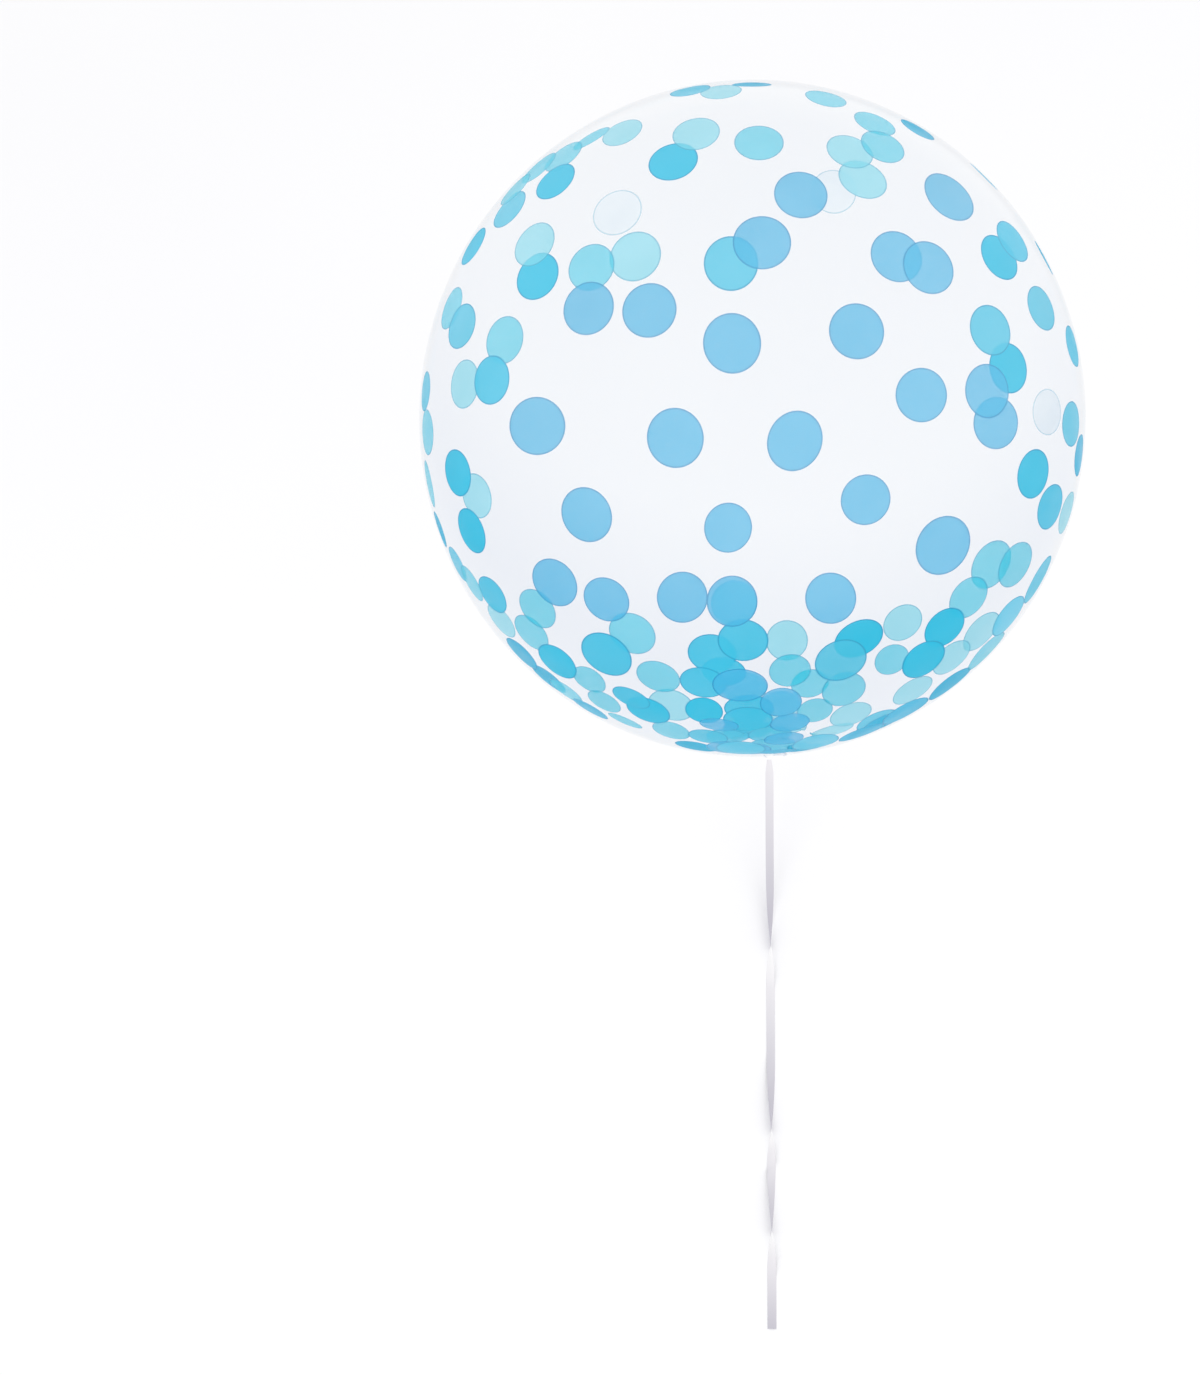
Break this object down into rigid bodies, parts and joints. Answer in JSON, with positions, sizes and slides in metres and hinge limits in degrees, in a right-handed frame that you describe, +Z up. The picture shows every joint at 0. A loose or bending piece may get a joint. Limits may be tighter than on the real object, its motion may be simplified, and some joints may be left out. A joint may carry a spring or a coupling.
{
  "type": "clear sphere balloon with ribbon",
  "caption": "Clear see-through film balloon in the shape of a sphere, printed with blue confetti dots, tied off with a pale satin ribbon that lies on the ground.",
  "frame": {"origin": "on the small flat spot that the balloon rests on, straight below the middle of the bubble", "axes": "+Z up; -Y is the side that the neck and the ribbon point to; +X to the right as seen from there"},
  "size_m": [0.5599, 0.9815, 0.5618],
  "materials": {
    "clear_film": "clear, glossy, thin stretched film with printed dots in blue tones",
    "satin_ribbon": "pale lavender-grey satin"
  },
  "bodies": {
    "root": {"balloon_film": "clear_film", "ribbon_knot": "satin_ribbon", "ribbon": "satin_ribbon"}
  },
  "joints": []
}
